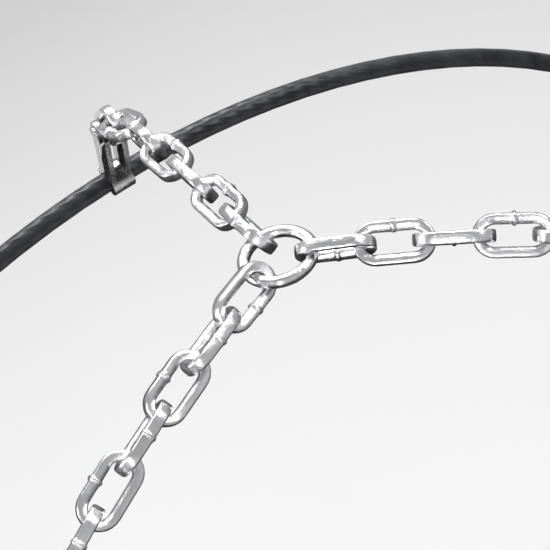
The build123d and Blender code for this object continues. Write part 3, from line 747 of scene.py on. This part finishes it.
def area_light(name, place, target, size, power):
    light = bpy.data.lights.new(name, "AREA")
    light.shape = "RECTANGLE"
    light.size, light.size_y = size
    light.energy = power
    lamp = bpy.data.objects.new(name, light)
    lamp.location = place
    lamp.rotation_euler = (Vector(target) - Vector(place)).to_track_quat("-Z", "Y").to_euler()
    bpy.context.scene.collection.objects.link(lamp)
    return lamp


AIM_FROM_RING = Vector((3.4, 2.1, -3.4)) * MM
FLOOR_REACH = 4.0
ROOM_RADIUS = 3.2
CARD_BLACK = (0.015, 0.015, 0.015)
CARD_STEPS = 96


class SNOWCHAIN_OT_stage(bpy.types.Operator):
    """Set the floor, the light and the camera"""
    bl_idname = "snowchain.stage"
    bl_label = "Stage"

    def execute(self, context):
        stage = settings(context, "stage")
        ring_low, ring_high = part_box("junction_ring")
        ring = (ring_low + ring_high) / 2
        self.floor(CAD_BOX[0].z, stage)
        self.dark_card()
        self.dim_room()
        self.lights(ring)
        self.camera(context.scene, stage, ring + AIM_FROM_RING)
        return {"FINISHED"}

    def floor(self, height, stage):
        mesh = bpy.data.meshes.new("floor")
        reach = FLOOR_REACH
        mesh.from_pydata([(-reach, -reach, height), (reach, -reach, height), (reach, reach, height),
                          (-reach, reach, height)], [], [(0, 1, 2, 3)])
        mesh.materials.append(plain_pale("pale_floor", stage.floor))
        floor = bpy.data.objects.new("floor", mesh)
        bpy.context.scene.collection.objects.link(floor)

    def dark_card(self):
        """Dark drum just under the net, seen only in the metal, as a tyre would be."""
        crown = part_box("junction_ring")[1].z - 7.5 * MM
        bend = radians(7.9)
        half = [(0.0, crown), (0.041, crown - 1.4 * MM), (0.082, crown - 5.6 * MM)]
        for k in range(1, 7):
            angle = bend + (pi / 2 - bend) * k / 6
            half.append((0.0754 + 0.048 * sin(angle), crown - 0.0531 + 0.048 * cos(angle)))
        half.append((0.118, 0.25))
        rows = [(-y, r) for y, r in half[:0:-1]] + half
        mesh = bpy.data.meshes.new("dark_card")
        turns = [2 * pi * k / CARD_STEPS for k in range(CARD_STEPS)]
        vertices = [(r * sin(turn), y, r * cos(turn)) for turn in turns for y, r in rows]
        wide = len(rows)
        faces = []
        for k in range(CARD_STEPS):
            after = (k + 1) % CARD_STEPS
            for j in range(wide - 1):
                faces.append((k * wide + j, k * wide + j + 1, after * wide + j + 1, after * wide + j))
        mesh.from_pydata(vertices, [], faces)
        finish = Finish("dark_card", CARD_BLACK, 0.0)
        finish.shader.inputs["Base Color"].default_value = (*CARD_BLACK, 1)
        mesh.materials.append(finish.material)
        card = bpy.data.objects.new("dark_card", mesh)
        bpy.context.scene.collection.objects.link(card)
        card.visible_camera = False
        card.visible_diffuse = False
        card.visible_shadow = False

    def dim_room(self):
        """Dim walls and ceiling, seen only in the metal, so that the lamps read as bright bands."""
        mesh = bpy.data.meshes.new("dim_room")
        work = bmesh.new()
        bmesh.ops.create_icosphere(work, subdivisions=4, radius=ROOM_RADIUS)
        work.to_mesh(mesh)
        work.free()
        finish = Finish("dim_room", (0.0, 0.0, 0.0), 0.0)
        finish.shader.inputs["Emission Color"].default_value = (0.95, 0.97, 1.0, 1)
        finish.shader.inputs["Emission Strength"].default_value = 0.12
        mesh.materials.append(finish.material)
        room = bpy.data.objects.new("dim_room", mesh)
        bpy.context.scene.collection.objects.link(room)
        for seen in ("camera", "diffuse", "transmission", "volume_scatter", "shadow"):
            setattr(room, "visible_" + seen, False)

    def lights(self, ring):
        area_light("overhead", ring + Vector((-0.28, -0.75, 0.95)), ring, (1.0, 0.6), 17)
        area_light("key", ring + Vector((-0.9, 0.35, 1.1)), ring, (0.5, 0.3), 7)
        area_light("front", ring + Vector((0.9, 1.2, 0.55)), ring, (0.25, 1.0), 6)
        area_light("side", ring + Vector((1.2, -0.3, 0.35)), ring, (0.3, 0.9), 6)
        sky = area_light("sky", (0.3, 0.4, 2.3), (0, 0, 0), (3.0, 3.0), 22)
        sky.visible_glossy = False
        world = bpy.data.worlds.new("studio")
        bpy.context.scene.world = world
        world.use_nodes = True
        world.node_tree.nodes["Background"].inputs["Color"].default_value = (0.97, 0.98, 1.0, 1)
        world.node_tree.nodes["Background"].inputs["Strength"].default_value = 0.14

    def camera(self, scene, stage, aim):
        level = cos(stage.elevation)
        forward = Vector((-level * sin(stage.azimuth), -level * cos(stage.azimuth), -sin(stage.elevation)))
        right = forward.cross(Vector((0, 0, 1))).normalized()
        up = right.cross(forward)
        up = up * cos(stage.roll) + right * sin(stage.roll)
        right = forward.cross(up)
        data = bpy.data.cameras.new("camera")
        data.lens = stage.lens
        data.sensor_width = 36.0
        data.clip_start = 0.01
        data.clip_end = 50.0
        camera = bpy.data.objects.new("camera", data)
        turn = Matrix((right, up, -forward)).transposed().to_4x4()
        camera.matrix_world = Matrix.Translation(aim - forward * stage.distance) @ turn
        scene.collection.objects.link(camera)
        scene.camera = camera
        scene.view_settings.view_transform = "Standard"


OPERATORS = (SNOWCHAIN_OT_stage, SNOWCHAIN_OT_tread_links, SNOWCHAIN_OT_rings, SNOWCHAIN_OT_side_chain,
             SNOWCHAIN_OT_cable, SNOWCHAIN_OT_lock)


class SNOWCHAIN_PT_panel(bpy.types.Panel):
    """Snow chain pieces and their settings"""
    bl_idname = "SNOWCHAIN_PT_panel"
    bl_label = "Snow Chain"
    bl_space_type = "VIEW_3D"
    bl_region_type = "UI"
    bl_category = "Snow Chain"

    def draw(self, context):
        for group, kind in SETTINGS.items():
            box = self.layout.box()
            box.label(text=group.title())
            for name in kind.__annotations__:
                box.prop(settings(context, group), name)
        for operator in OPERATORS:
            self.layout.operator(operator.bl_idname)


def register():
    for kind in (*SETTINGS.values(), *OPERATORS, SNOWCHAIN_PT_panel):
        bpy.utils.register_class(kind)
    for group, kind in SETTINGS.items():
        setattr(bpy.types.Scene, "snow_chain_" + group, PointerProperty(type=kind))


def unregister():
    for group in SETTINGS:
        delattr(bpy.types.Scene, "snow_chain_" + group)
    for kind in reversed((*SETTINGS.values(), *OPERATORS, SNOWCHAIN_PT_panel)):
        bpy.utils.unregister_class(kind)


def main():
    register()
    for operator in OPERATORS:
        getattr(bpy.ops.snowchain, operator.bl_idname.split(".")[1])()


if __name__ == "__main__":
    main()
